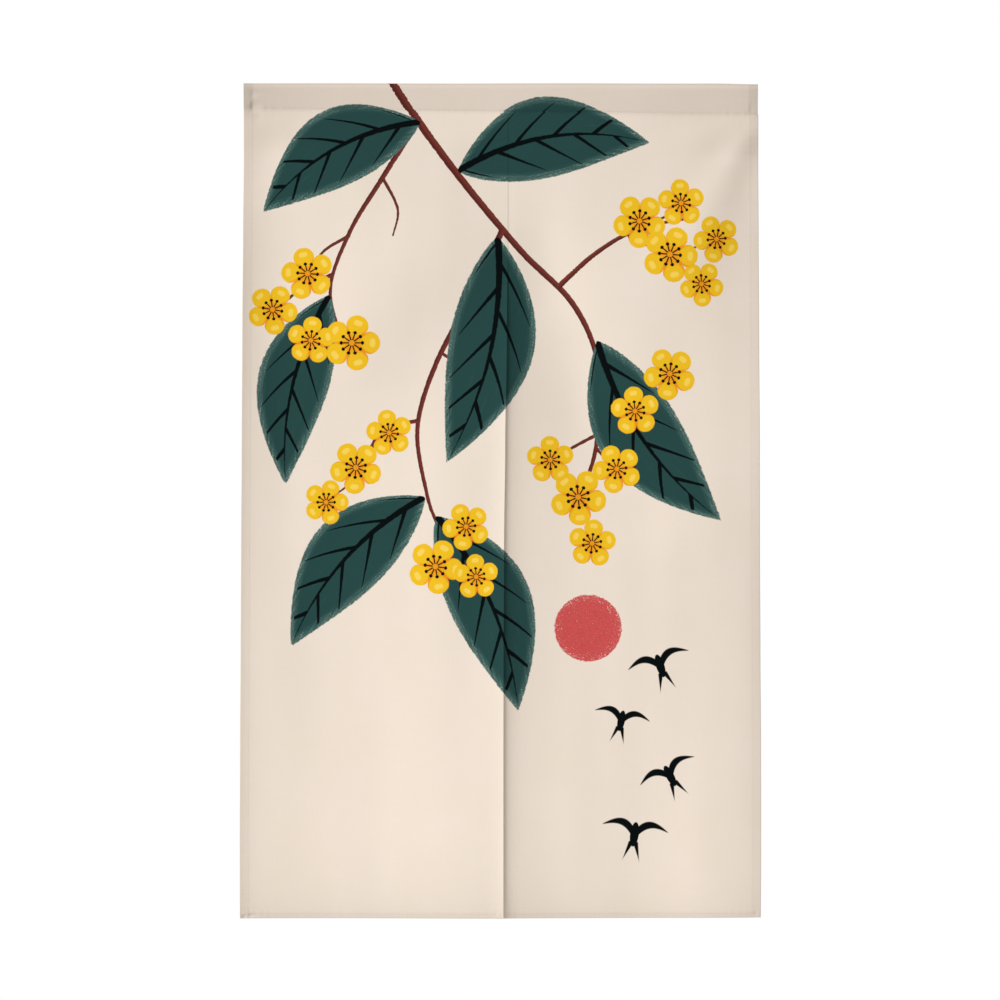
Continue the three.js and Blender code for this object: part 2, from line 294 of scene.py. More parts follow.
def rumple(x, z):
    """Slight unevenness of hung cloth: a sum of long waves, most of them running down the cloth."""
    random = np.random.default_rng(11)
    waves, steepness = 12, 0.0009
    total = np.zeros_like(x)
    for _ in range(waves):
        length = random.uniform(60, 200)
        lean = random.normal(0, 0.42)
        phase = random.uniform(0, 2 * np.pi)
        place = x * np.cos(lean) + z * np.sin(lean) * 0.5
        total += length * np.sin(2 * np.pi * place / length + phase)
    return total * steepness


def edge_curl(x, z):
    """Each outer edge and the bottom one leave the plane: a depth times an exponential of the distance."""
    turned = smooth(0, LEFT_GROWS_OVER, seam_height(x) - z)
    return (
        LEFT_CURL * turned * np.exp(-(x - outline(LEFT, z)) / LEFT_REACH)
        + RIGHT_CURL * np.exp(-(outline(RIGHT, z) - x) / RIGHT_REACH)
        + BOTTOM_CURL * np.exp(-(z + DROP) / BOTTOM_REACH)
    )


def heading_swell(x):
    """How far the front of the heading's ends leaves its line: an exponential at each end."""
    left = LEFT_SWELL * np.exp(-(x - HEADING_LOW[0]) / LEFT_SWELL_REACH)
    return left + RIGHT_TURN * np.exp(-(HEADING_HIGH[0] - x) / RIGHT_TURN_REACH)


def cloth_front(x, z):
    """y of the cloth's front face. At the heading's seam it has the heading's swell, which fades below
    it while the cloth falls back and returns. Folds, curl and rumple grow from nothing at the seam."""
    down = seam_height(x) - z
    loose = smooth(0, FLAT_UNDER_SEAM, down)
    fallen = (1 - np.exp(-down / FALL_REACH)) * np.exp(-down / FALL_RETURNS)
    fall = along_heading("fall", x) * fallen
    swell = heading_swell(x) * np.exp(-down / SWELL_FADES)
    return FRONT_OFFSET + swell + fall + loose * (fold_depth(x, z) + edge_curl(x, z) + rumple(x, z))


def slit_shift(side, x, z):
    """How far a panel moves back beside the slit: where the panels are sewn the right one dips a
    little, and further down both lift forward, by exponentials of the distance from the slit."""
    beyond = x - outline("slit", z)
    open_share = smooth(0, FLAP_OPENS_OVER, SLIT_TOP - z)
    if side == RIGHT:
        dip = SEWN_TUCK * (1 - open_share) * (1 - smooth(2, TUCK_REACH, beyond))
        return dip - RIGHT_LIFT * open_share * np.exp(-np.abs(beyond) / RIGHT_LIFT_REACH)
    return -LEFT_LIFT * open_share * np.exp(beyond / LEFT_LIFT_REACH)


def graded(stops, near=()):
    """Rising positions between stops, given as pairs of a position and the pitch up to the next one,
    with extra ones close to each of near."""
    places = []
    for (low, pitch), (high, _) in zip(stops, stops[1:]):
        places.append(np.linspace(low, high, max(int(np.ceil((high - low) / pitch)), 1) + 1))
    for at in near:
        places.append(at + np.array([-0.5, -0.17, 0.17, 0.5]))
    together = np.unique(np.round(np.concatenate(places), 3))
    together = together[(together >= stops[0][0]) & (together <= stops[-1][0])]
    return together[np.concatenate([[True], np.diff(together) > 0.08])]


def grid_quads(index, flip):
    """Four corners of each cell of a grid of points, whose rows run down and columns to the right."""
    quads = np.stack([index[:-1, :-1], index[1:, :-1], index[1:, 1:], index[:-1, 1:]], axis=-1)
    return (quads[..., ::-1] if flip else quads).reshape(-1, 4)


def ring_of(index):
    """The points round a grid's border, so that a rim joined to them faces out."""
    return np.concatenate([index[:-1, 0], index[-1, :-1], index[:0:-1, -1], index[0, :0:-1]])


def rim_quads(front, back):
    """Cells between two closed rings of points."""
    return np.stack([front, back, np.roll(back, -1), np.roll(front, -1)], axis=-1)


def everywhere(x, *values):
    """The same few values at every point."""
    return np.broadcast_to(values, (*x.shape, len(values)))


def leaf_places(x, d):
    """For each point, its leaf's margin (mm inside the edge), share along and offset from the midrib.

    A leaf is the area round a bent midrib where the offset is less than the half width times a sine
    arch, which is fuller near the base. Of all leaves, the one with the widest margin is kept.
    """
    found = everywhere(x, -FAR, 0.0, 0.0)
    for base, tip, half, bend in LEAVES:
        base, tip = np.array(base, float), np.array(tip, float)
        length = np.hypot(*(tip - base))
        way = (tip - base) / length
        along = ((x - base[0]) * way[0] + (d - base[1]) * way[1]) / length
        offset = (d - base[1]) * way[0] - (x - base[0]) * way[1]
        bent = np.clip(along, -0.2, 1.2)
        offset = offset - bend * 4 * bent * (1 - bent)
        arch = np.sin(np.pi * np.clip(along, 0, 1) ** 0.86) ** 0.92
        margin = half * arch - np.abs(offset)
        beyond = np.maximum(-along, along - 1) * length
        margin = np.where(beyond > 0, -np.hypot(beyond, offset), margin)
        better = (margin > found[..., 0])[..., None]
        found = np.where(better, np.stack([margin, along, offset / half], axis=-1), found)
    return found


def curve_through(points, steps=20):
    """A smooth curve through all its points, a cubic between each pair."""
    way = np.array(points, float)
    way = np.vstack([2 * way[0] - way[1], way, 2 * way[-1] - way[-2]])
    u = np.linspace(0, 1, steps, endpoint=False)[:, None]
    parts = []
    for a, b, c, e in zip(way, way[1:], way[2:], way[3:]):
        parts.append(0.5 * (2 * b + (c - a) * u + (2 * a - 5 * b + 4 * c - e) * u**2
                            + (3 * b - a - 3 * c + e) * u**3))
    return np.vstack(parts + [way[-2][None]])


def branch_places(x, d, branches):
    """For each point, its signed distance from the nearest branch's middle, the branch's half width
    there, and its distance in all. Far from all branches, and past their ends, the width is negative."""
    reach = 8.0
    found = everywhere(x, reach, -reach, FAR)
    for wide, thin, *places in branches:
        way = curve_through(places)
        last = len(way) - 2
        for number, (a, b) in enumerate(zip(way, way[1:])):
            run = b - a
            length = np.hypot(*run)
            along = ((x - a[0]) * run[0] + (d - a[1]) * run[1]) / length**2
            held = np.clip(along, 0, 1)
            offset = ((d - a[1]) * run[0] - (x - a[0]) * run[1]) / length
            distance = np.hypot(x - a[0] - held * run[0], d - a[1] - held * run[1])
            half = wide + (thin - wide) * (number + held) / (last + 1)
            past = ((along < -0.1) & (number == 0)) | ((along > 1.1) & (number == last))
            half = np.where((distance > reach) | past, -reach, half)
            better = (distance < found[..., 2])[..., None]
            found = np.where(better, np.stack([offset, half, distance], axis=-1), found)
    return found


def motif_places(x, d, motifs):
    """For each point, its place in the nearest motif, turned with it, and its distance, in motif radii."""
    reach = 9.0
    found = everywhere(x, reach, 0.0, reach)
    for centre_x, centre_d, radius, turn in motifs:
        angle = np.radians(turn)
        off_x, off_d = (x - centre_x) / radius, (d - centre_d) / radius
        across = off_x * np.cos(angle) + off_d * np.sin(angle)
        down = off_d * np.cos(angle) - off_x * np.sin(angle)
        away = np.hypot(across, down)
        better = (away < found[..., 2])[..., None]
        found = np.where(better, np.stack([across, down, away], axis=-1), found)
    return found


def print_places(x, d):
    """All attributes that the printed cloth's material reads, by name."""
    places = {"leaf": leaf_places(x, d)}
    for label, branches in BRANCHES.items():
        places[label] = branch_places(x, d, branches)
    for label, motifs in {**BLOSSOMS, "sun": (SUN,), **BIRDS}.items():
        places[label] = motif_places(x, d, motifs)
    return places


def make_piece(name, points, quads, material, flat=None, attributes=()):
    """A mesh object at the origin from points in millimetres. flat is each point's place on the flat
    cloth, which becomes the UV map, in metres. Each attribute has three values for each point."""
    mesh = bpy.data.meshes.new(name)
    mesh.from_pydata((points * MM).tolist(), [], quads.tolist())
    mesh.polygons.foreach_set("use_smooth", np.ones(len(mesh.polygons), dtype=bool))
    if flat is not None:
        corners = np.empty(len(mesh.loops), dtype=np.int32)
        mesh.loops.foreach_get("vertex_index", corners)
        layer = mesh.uv_layers.new(name="flat_cloth")
        layer.uv.foreach_set("vector", (flat[corners] * MM).ravel())
    for label, values in dict(attributes).items():
        attribute = mesh.attributes.new(label, "FLOAT_VECTOR", "POINT")
        attribute.data.foreach_set("vector", values.astype(np.float32).ravel())
    mesh.materials.append(material)
    mesh.update()
    piece = bpy.data.objects.new(name, mesh)
    bpy.context.scene.collection.objects.link(piece)
    return piece


def linear(colour):
    """A display colour as the light values that a shader needs."""
    value = np.array(colour[:3], float)
    return (*np.where(value <= 0.04045, value / 12.92, ((value + 0.055) / 1.055) ** 2.4), 1.0)


class Shader:
    """Adds nodes to one material, with sockets or plain numbers as inputs."""

    def __init__(self, name):
        self.material = bpy.data.materials.new(name)
        self.material.use_nodes = True
        self.tree = self.material.node_tree
        self.surface = self.tree.nodes["Principled BSDF"]

    def put(self, socket, value):
        """Links another socket to an input, or gives it a plain value."""
        if isinstance(value, bpy.types.NodeSocket):
            self.tree.links.new(value, socket)
        else:
            socket.default_value = value

    def node(self, kind, settings=(), **inputs):
        """A new node with its settings, and its inputs by name."""
        made = self.tree.nodes.new(kind)
        for label, value in dict(settings).items():
            setattr(made, label, value)
        for label, value in inputs.items():
            self.put(made.inputs[label.replace("_", " ")], value)
        return made

    def math(self, operation, *values):
        """One operation, carried on from the first value to the last where there are more than two."""
        if len(values) > 2:
            values = (self.math(operation, *values[:-1]), values[-1])
        made = self.node("ShaderNodeMath", {"operation": operation})
        for socket, value in zip(made.inputs, values):
            self.put(socket, value)
        return made.outputs[0]

    def add(self, *values):
        return self.math("ADD", *values)

    def times(self, *values):
        return self.math("MULTIPLY", *values)

    def less(self, a, b):
        return self.math("SUBTRACT", a, b)

    def over(self, a, b):
        return self.math("DIVIDE", a, b)

    def most(self, *values):
        return self.math("MAXIMUM", *values)

    def power(self, a, b):
        return self.math("POWER", self.most(a, 0.0), b)

    def size_of(self, a):
        """The value without its sign."""
        return self.math("ABSOLUTE", a)

    def length(self, a, b):
        """Root of the sum of two squares."""
        return self.math("SQRT", self.add(self.times(a, a), self.times(b, b)))

    def step(self, low, high, value):
        """0 at low, 1 at high and smooth between them; low may be the higher one."""
        start, end = (1.0, 0.0) if low > high else (0.0, 1.0)
        made = self.node("ShaderNodeMapRange", {"interpolation_type": "SMOOTHSTEP"}, Value=value,
                         From_Min=min(low, high), From_Max=max(low, high), To_Min=start, To_Max=end)
        return made.outputs["Result"]

    def mix(self, share, under, over):
        """A colour between two, from the sockets that a Mix node keeps for colours."""
        made = self.node("ShaderNodeMix", {"data_type": "RGBA"}, Factor=share)
        self.put(made.inputs[6], under)
        self.put(made.inputs[7], over)
        return made.outputs[2]

    def parts(self, vector):
        """The three values of a vector."""
        made = self.node("ShaderNodeSeparateXYZ", Vector=vector)
        return made.outputs["X"], made.outputs["Y"], made.outputs["Z"]

    def attribute(self, label):
        """The three values of one of the piece's attributes."""
        return self.parts(self.node("ShaderNodeAttribute", {"attribute_name": label}).outputs["Vector"])

    def joined(self, x, y, z=0.0):
        return self.node("ShaderNodeCombineXYZ", X=x, Y=y, Z=z).outputs["Vector"]

    def noise(self, vector, scale, detail=2.0):
        """Noise about 0, from about -1 to 1."""
        made = self.node("ShaderNodeTexNoise", Vector=vector, Scale=scale, Detail=detail)
        return self.times(self.less(made.outputs["Fac"], 0.5), 3.0)

    def stretched(self, vector, x, y):
        return self.node("ShaderNodeMapping", Vector=vector, Scale=(x, y, 1.0)).outputs["Vector"]


class ClothShader(Shader):
    """A shader by flat place, with the fine grain and the softer blur that roughen every brush mark."""

    def __init__(self, name):
        super().__init__(name)
        self.flat = self.node("ShaderNodeUVMap", {"uv_map": "flat_cloth"}).outputs["UV"]
        self.grain = self.noise(self.flat, 520.0)
        self.blur = self.noise(self.flat, 150.0)


# Each layer below lays one kind of motif over the colour under it, and returns the new colour and the
# motif's cover, from 0 to 1. Lengths are in millimetres or in shares of the motif.

def branch_layer(s, under, label, look):
    """Brown brush strokes, darker along their lower side."""
    offset, half, _ = s.attribute(label)
    inside = s.add(s.less(half, s.size_of(offset)), s.times(s.blur, 0.55), s.times(s.grain, 0.25))
    cover = s.step(-0.5, 0.5, inside)
    wood = s.mix(s.step(-1.5, 2.5, s.add(offset, s.grain)), linear(look.wood), linear(look.wood_dark))
    return s.mix(cover, under, wood), cover


def leaf_layer(s, under, label, look):
    """Leaves with a dry fringe, brushed veins and a few specks of bare cloth."""
    margin, along, offset = s.attribute(label)
    cover = s.step(-0.9, 0.9, s.add(margin, s.times(s.grain, 1.3), s.blur))
    strokes = s.noise(s.joined(s.times(along, 2.2), s.times(offset, 7.0)), 2.4, 3.0)
    patches = s.noise(s.joined(along, offset, margin), 3.0)
    fringe_reach = s.step(14.0, 1.0, s.add(margin, s.times(patches, -7.0)))
    brushed = s.step(-0.75, 0.35, s.add(s.times(s.grain, 0.6), s.times(strokes, 0.6)))
    bare = s.step(0.25, 0.8, s.add(s.grain, s.times(strokes, 0.4)))
    specks = s.times(s.step(0.3, 1.0, fringe_reach), bare, 0.6)
    cover = s.times(cover, s.less(1.0, specks))
    dry = s.times(s.step(0.3, 1.0, s.add(strokes, s.times(s.grain, 0.3))), 0.16)
    dry = s.most(dry, s.times(fringe_reach, brushed, 0.8))
    body = s.mix(dry, linear(look.leaf), linear(look.leaf_dry))
    away = s.size_of(offset)
    # midrib: a brush stroke that swells from the stalk and thins to the tip
    rib_half = s.times(s.less(1.03, along), 0.086)
    rib = s.step(-0.012, 0.012, s.add(s.less(rib_half, away), s.times(s.blur, 0.010)))
    rib = s.times(rib, s.step(0.985, 0.95, along), s.step(-2.0, 0.0, margin))
    # side veins: strokes that leave the midrib at a slant, stepped half a space on the other side
    spacing, reach, first = 0.205, 0.84, 0.22
    other_side = s.math("GREATER_THAN", offset, 0.0)
    slant = s.add(along, s.times(away, -0.25), s.times(s.power(away, 2.0), -0.06),
                  s.times(other_side, 0.098), s.times(s.blur, 0.0025))
    turn = s.over(slant, spacing)
    near = s.times(s.size_of(s.less(s.math("FRACT", turn), 0.5)), spacing)
    vein_half = s.times(s.power(s.less(reach, away), 0.6), 0.0175)
    vein = s.step(-0.003, 0.003, s.less(vein_half, near))
    vein = s.times(vein, s.step(reach, reach - 0.04, away), s.step(5.0, 7.0, margin),
                   s.step(0.92, 0.88, along), s.math("GREATER_THAN", turn, first))
    return s.mix(s.most(rib, vein), s.mix(cover, under, body), linear(look.ink)), cover


def blossom_layer(s, under, label, look):
    """Five-petalled blossoms. The edge's radius is a root of the cosine of two and a half turns, and
    ten dark stamens stand round the middle."""
    across, down, away = s.attribute(label)
    radius = s.most(s.length(across, down), s.less(away, 0.07))
    angle = s.math("ARCTAN2", down, across)
    petal = s.size_of(s.math("COSINE", s.times(angle, 2.5)))
    edge = s.add(s.times(s.power(petal, 0.5), 0.44), 0.54)
    inside = s.add(s.less(edge, radius), s.times(s.grain, 0.010), s.times(s.blur, 0.014))
    cover = s.times(s.step(-0.022, 0.022, inside), s.step(1.12, 1.08, away))
    # shade towards the middle, between the petals, low on the right and along the edge
    streak = s.noise(s.joined(s.times(angle, 3.2), s.times(radius, 1.2)), 3.0)
    shade = s.add(s.times(s.step(0.62, 0.15, radius), 0.72), s.times(s.step(0.62, 0.05, petal), 0.62),
                  s.times(streak, 0.13), s.times(s.add(down, across), 0.20),
                  s.times(s.step(0.10, 0.0, inside), 0.22))
    body = s.mix(s.step(0.22, 0.95, shade), linear(look.petal), linear(look.petal_shade))
    # a dab of light on each petal
    dab_x, dab_y = s.over(s.less(radius, 0.72), 0.105), s.over(s.less(1.0, petal), 0.16)
    dab = s.step(1.3, 0.3, s.add(s.times(dab_x, dab_x), s.times(dab_y, dab_y), s.times(s.grain, 0.25)))
    body = s.mix(s.times(dab, 0.6), body, linear(look.petal_light))
    # stamens: ten threads, each with a dot at its end
    reach = 0.37
    swing = s.times(s.math("SINE", s.times(angle, 5.0)), radius, 0.2)
    thread = s.times(s.step(0.028, 0.014, s.size_of(swing)), s.step(reach + 0.01, reach - 0.03, radius),
                     s.step(0.08, 0.12, radius))
    dot = s.step(0.068, 0.048, s.length(swing, s.less(radius, reach)))
    stamens = s.times(cover, s.most(thread, dot))
    return s.mix(stamens, s.mix(cover, under, body), linear(look.ink)), cover


def sun_layer(s, under, label, look):
    """A round brushed sun, worn in places."""
    across, down, away = s.attribute(label)
    inside = s.times(s.less(1.0, s.length(across, down)), float(SUN[2]))
    inside = s.add(inside, s.times(s.blur, 1.6), s.times(s.grain, 1.1))
    worn = s.add(s.grain, s.times(s.blur, 0.5), s.times(s.step(20.0, 0.0, inside), 0.35))
    kept = s.less(1.0, s.times(s.step(0.45, 1.0, worn), 0.75))
    body = s.mix(s.step(-0.8, 1.0, s.blur), linear(look.sun), linear(look.sun_dark))
    cover = s.times(s.step(-0.8, 0.8, inside), kept, s.step(1.25, 1.15, away))
    return s.mix(cover, under, body), cover


def bird_layer(s, under, label, look):
    """Flying birds: two bowed wings, an oval body and a forked tail."""
    across, down, away = s.attribute(label)
    side = s.size_of(across)
    bow = s.times(s.math("SINE", s.times(s.power(side, 0.75), 2.9)), -0.34)
    thick = s.times(s.power(s.less(1.0, side), 0.8), 0.33)
    wing = s.times(s.step(-0.02, 0.02, s.less(down, bow)),
                   s.step(-0.02, 0.02, s.less(s.add(bow, thick), down)), s.step(1.0, 0.97, side))
    body_x, body_y = s.over(across, 0.13), s.over(s.less(down, 0.10), 0.37)
    body = s.step(1.08, 0.92, s.add(s.times(body_x, body_x), s.times(body_y, body_y)))
    behind = s.less(down, 0.30)
    prong_half = s.times(s.less(1.0, s.over(behind, 0.58)), 0.085)
    prong = s.less(prong_half, s.size_of(s.less(s.less(side, 0.05), s.times(behind, 0.34))))
    tail = s.times(s.step(-0.015, 0.015, prong), s.step(0.0, 0.03, behind))
    cover = s.times(s.most(wing, body, tail), s.step(1.25, 1.15, away))
    return s.mix(cover, under, linear(look.ink)), cover


PRINT = (
    *((branch_layer, label) for label in BRANCHES), (leaf_layer, "leaf"),
    *((blossom_layer, label) for label in BLOSSOMS), (sun_layer, "sun"),
    *((bird_layer, label) for label in BIRDS),
)


def printed_cloth(name, look):
    """Material of the printed cloth, by its flat place. The print is faint on the reverse."""
    s = ClothShader(name)
    plain = s.mix(s.step(-1.2, 1.2, s.noise(s.flat, 11.0)), linear(look.cloth), linear(look.cloth_warm))
    warp, weft = s.stretched(s.flat, 900.0, 26.0), s.stretched(s.flat, 22.0, 900.0)
    yarn = s.add(s.times(s.noise(warp, 1.0), 0.5), s.times(s.noise(weft, 1.0), 0.5))
    colour, cover = plain, 0.0
    for layer, label in PRINT:
        colour, part = layer(s, colour, label, look)
        cover = s.most(cover, part)
    # the make attribute's first value is painted shade, which darkens the colour; then the reverse and the
    # thread
    painted_shade, reverse, thread = s.attribute("make")
    colour = s.mix(s.times(reverse, look.reverse_fade), colour, plain)
    shade = s.add(1.0, s.times(painted_shade, -look.painted_shade_depth), s.times(yarn, 0.022), s.times(thread, -0.05))
    toned = s.node("ShaderNodeVectorMath", {"operation": "SCALE"}, Vector=colour, Scale=shade)
    s.put(s.surface.inputs["Base Color"], toned.outputs["Vector"])
    s.put(s.surface.inputs["Roughness"], s.add(0.86, s.times(cover, -0.06), s.times(yarn, 0.05)))
    s.surface.inputs["Sheen Weight"].default_value = 0.02
    s.surface.inputs["Sheen Roughness"].default_value = 0.5
    s.surface.inputs["Specular IOR Level"].default_value = 0.05
    bump_weave(s, yarn, look)
    return s.material


def bump_weave(s, yarn, look):
    """Raises a plain weave: crossing rows of yarns that pass over each other by turns."""
    x, d, _ = s.parts(s.flat)
    turns = np.pi / look.yarn_pitch
    weave = s.times(s.math("SINE", s.times(x, turns)), s.math("SINE", s.times(d, turns)))
    height = s.add(s.times(weave, 0.5), s.times(yarn, 0.9))
    bump = s.node("ShaderNodeBump", Strength=0.32, Distance=0.00022, Height=height)
    s.put(s.surface.inputs["Normal"], bump.outputs["Normal"])


def panel_grid(cloth):
    """Shares of a panel's width, from its slit edge, and of its height, at which its grid lines run."""
    pitch, width, height = cloth.pitch / MM, PANEL_WIDTH, PANEL_HEIGHT
    side, bottom = width - SIDE_HEM, height - BOTTOM_HEM
    across = graded(((0, 1.5), (SLIT_HEM, 2.4), (40, pitch), (width - 50, 2.6), (side, 1.6), (width, 1)),
                    near=(ROUND_REACH, SLIT_HEM, side, width - ROUND_REACH))
    down = graded(((0, 1.2), (12, 3.0), (60, pitch), (height - 40, 2.6), (bottom, 1.5), (height, 1)),
                  near=(ROUND_REACH, bottom, height - ROUND_REACH))
    return across / width, down / height


def hem_pucker(along, into):
    """Ripples that the needle leaves beside a seam: two sines along it, in a bell across it."""
    turns = along * 2 * np.pi
    ripple = np.sin(turns / PUCKER_LONG) + 0.6 * np.sin(turns / PUCKER_SHORT + 1.3)
    return PUCKER_DEPTH * ripple * np.exp(-((into / PUCKER_REACH) ** 2))


def panel_places(side, share, level):
    """x, z and flat place of a panel's points, from their share of its width and of its height."""
    z_level = seam_height(0.0) + (-DROP - seam_height(0.0)) * level
    inner_shift, outer_flat = (0.0, -FLAT_SIDE) if side == LEFT else (-SLIT_HEM, FLAT_SIDE)
    inner = outline("slit", z_level) + inner_shift
    x = inner + (outline(side, z_level) - inner) * share
    top = seam_height(x)
    z = top + (-DROP - top) * level
    flat_x = FLAT_SLIT + inner_shift + (outer_flat - FLAT_SLIT - inner_shift) * share
    return x, z, flat_x, -z, share * PANEL_WIDTH


def near_edge(distance, hem):
    """1 on a hem and 0 off it, with a short soft step at its stitching."""
    return 1 - smooth(hem - 0.5, hem + 0.5, distance)


def panel_faces(side, share, level, cloth):
    """Places of a panel's points on its front and back face, on the flat cloth, and the painted shade on
    them.
    """
    x, z, flat_x, flat_d, from_slit = panel_places(side, share, level)
    from_side = PANEL_WIDTH - from_slit
    from_hem = DROP + z
    from_seam = seam_height(x) - z
    opened = smooth(-10, 30, SLIT_TOP - z)
    stitched = (
        hem_pucker(z, from_side - SIDE_HEM + 2) * smooth(0, 40, from_seam)
        + hem_pucker(z + 5, from_slit - SLIT_HEM + 2) * opened * 0.5
        + hem_pucker(x, from_hem - BOTTOM_HEM + 1.5)
        + hem_pucker(x * 0.8, from_seam)
    )
    front = cloth_front(x, z) + dimples(x, z) + stitched + slit_shift(side, x, z)
    side_hem, slit_hem = near_edge(from_side, SIDE_HEM), near_edge(from_slit, SLIT_HEM)
    hemmed = np.maximum.reduce([side_hem, near_edge(from_hem, BOTTOM_HEM),
                                slit_hem * (opened if side == LEFT else 1.0)])
    thick = cloth.thickness / MM + hemmed * cloth.hem_thickness / MM
    if side == LEFT:
        room = slit_shift(RIGHT, x, z) - slit_shift(LEFT, x, z) - FLAPS_APART
        kept = np.minimum(thick, np.maximum(room, SEWN_THICKNESS))
        thick = np.where(from_slit < SLIT_HEM + 0.6, kept, thick)
    nearest = np.minimum.reduce([from_side, from_slit, from_hem])
    round_share = np.clip(nearest / ROUND_REACH, 0, 1)
    bevel = (thick / 2 - 0.06) * (1 - np.sqrt(1 - (1 - round_share) ** 2))
    # painted shade: a soft darker tone where the cloth lies double and just under the heading's seam
    painted_shade = np.maximum.reduce([
        1 - smooth(-1, 6, from_seam),
        SIDE_TONE * side_hem,
        BOTTOM_TONE * (1 - smooth(BOTTOM_HEM - 3, BOTTOM_HEM + 3, from_hem)),
        SLIT_TONE * slit_hem * opened,
    ])
    # painted shade, darker still at the top of the side hems
    painted_shade += CORNER_TONE * side_hem * (1 - smooth(-1, 20, from_seam))
    # and painted shade, darker towards the bottom on the left
    painted_shade += LOWER_LEFT_SHADE * (1 - smooth(0, 170, from_hem)) * (1 - smooth(60, 260, x))
    return {
        "front": np.stack([x, front + bevel, z], axis=-1),
        "back": np.stack([x, front + thick - bevel, z], axis=-1),
        "flat": np.stack([flat_x, flat_d], axis=-1),
        "painted_shade": painted_shade,
    }


def cloth_attributes(flat, painted_shade, reverse, thread=0.0):
    """Attributes that the printed cloth reads, for points given by their place on the flat cloth."""
    attributes = print_places(flat[:, 0], flat[:, 1])
    attributes["make"] = np.stack(np.broadcast_arrays(painted_shade, reverse, thread), axis=-1)
    return attributes


def closed_sheet(name, faces, material, facing=False):
    """A piece from two grids of points, front and back, joined by a rim. facing turns all faces over."""
    index = np.arange(2 * faces["painted_shade"].size).reshape(2, *faces["painted_shade"].shape)
    first, second = ring_of(index[0]), ring_of(index[1])
    quads = np.concatenate([
        grid_quads(index[0], flip=facing),
        grid_quads(index[1], flip=not facing),
        rim_quads(second, first) if facing else rim_quads(first, second),
    ])
    points = np.concatenate([faces["front"].reshape(-1, 3), faces["back"].reshape(-1, 3)])
    flat = np.tile(faces["flat"].reshape(-1, 2), (2, 1))
    reverse = np.repeat([0.0, 1.0], faces["painted_shade"].size)
    attributes = cloth_attributes(flat, np.tile(faces["painted_shade"].ravel(), 2), reverse)
    piece = make_piece(name, points, quads, material, flat, attributes)
    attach(piece, "root")
    return piece


def make_panel(name, side, cloth, material):
    """One hemmed panel: two faces on a grid, closed by a rim."""
    share_row, level_row = panel_grid(cloth)
    if side == LEFT:
        share_row = share_row[::-1]
    share, level = np.meshgrid(share_row, level_row)
    return closed_sheet(name, panel_faces(side, share, level, cloth), material)


def sleeve_half(x, down):
    """Half depth of the open sleeve at a share of its height: a straight wedge that closes at the
    seam, times one less an exponential, which rounds it off at the fold."""
    return along_heading("half", x) * (1 - down) * (1 - np.exp(-down / FOLD_ROUND))


def heading_hem(x):
    """Where the heading's ends are hemmed."""
    return np.maximum(near_edge(x - HEADING_LOW[0], SIDE_HEM), near_edge(HEADING_HIGH[0] - x, SIDE_HEM))


def sleeve_face(x, down, back, inset, cloth):
    """Points of the heading's wall, moved inwards by inset. At the seam the front wall carries on as
    the panels' front, and the back wall lies behind them."""
    seam = seam_height(x)
    half = sleeve_half(x, down)
    behind = cloth.thickness / MM + cloth.hem_thickness / MM + BACK_BEHIND
    from_fold = smooth(0.0, 0.12, down)
    swell = heading_swell(x)
    front_y = FRONT_OFFSET * smooth(0.0, 1.0, down) + swell - half
    front_y = front_y + dimples(x, seam * down) + hem_pucker(x * 0.8, seam * (1 - down))
    joined = smooth(0.5, 1.0, down) + 0.5 * (1 - smooth(0.0, 0.06, down))
    back_y = behind * smooth(0.35, 1.0, down) + half + swell * joined
    y = np.where(back > 0, back_y - inset * from_fold, front_y + inset * from_fold)
    lower = np.where(back > 0, BACK_LOWER, 0.0) * smooth(0.8, 1.0, down)
    top = TOP_WAVE * np.sin(x / TOP_WAVE_SPREAD) - TOP_SINKS * smooth(330, 400, x)
    z = seam * down - inset * (1 - from_fold) - lower + top * (1 - smooth(0, 0.6, down))
    return np.stack([x, y, z], axis=-1)


def heading_flat(points, back):
    """Place on the flat cloth of points on the heading, whose back lies above its fold."""
    x, z = points[..., 0], points[..., 2]
    return np.stack([x * FLAT_SIDE / HALF_WIDTH, np.where(back > 0, z, -z)], axis=-1)


def make_heading(cloth, material):
    """The heading: one strip of cloth folded over the top, its front and back meeting at the seam.

    Its section at each x runs up the front wall, over the fold and down the back wall. An inner face
    follows the same section, a cloth's thickness inside it.
    """
    low, high = HEADING_LOW[0], HEADING_HIGH[0]
    x_row = graded(((low, 1.6), (low + SIDE_HEM, 2.6), (low + 60, cloth.pitch / MM), (high - 60, 2.6),
                    (high - SIDE_HEM, 1.6), (high, 1)),
                   near=(low + ROUND_REACH, low + SIDE_HEM, high - SIDE_HEM, high - ROUND_REACH))
    wall = (1 - np.cos(np.linspace(0, np.pi, 26))) / 2
    down, x = np.meshgrid(np.concatenate([wall[:0:-1], wall]), x_row, indexing="ij")
    back = np.zeros_like(down)
    back[len(wall) - 1:] = 1
    thick = cloth.thickness / MM + heading_hem(x) * cloth.hem_thickness / MM
    outer = sleeve_face(x, down, back, 0.0, cloth)
    # painted shade on the heading's double cloth, more on its hemmed ends and still more along the pressed
    # crease of the fold
    crease = 1 - smooth(0.04, 0.15, down)
    faces = {
        "front": outer,
        "back": sleeve_face(x, down, back, thick, cloth),
        "flat": heading_flat(outer, back),
        "painted_shade": along_heading("tone", x) + HEADING_HEM_TONE * heading_hem(x) + CREASE_TONE * crease,
    }
    piece = closed_sheet("heading_cloth", faces, material, facing=True)
    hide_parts("heading_sleeve")
    return piece


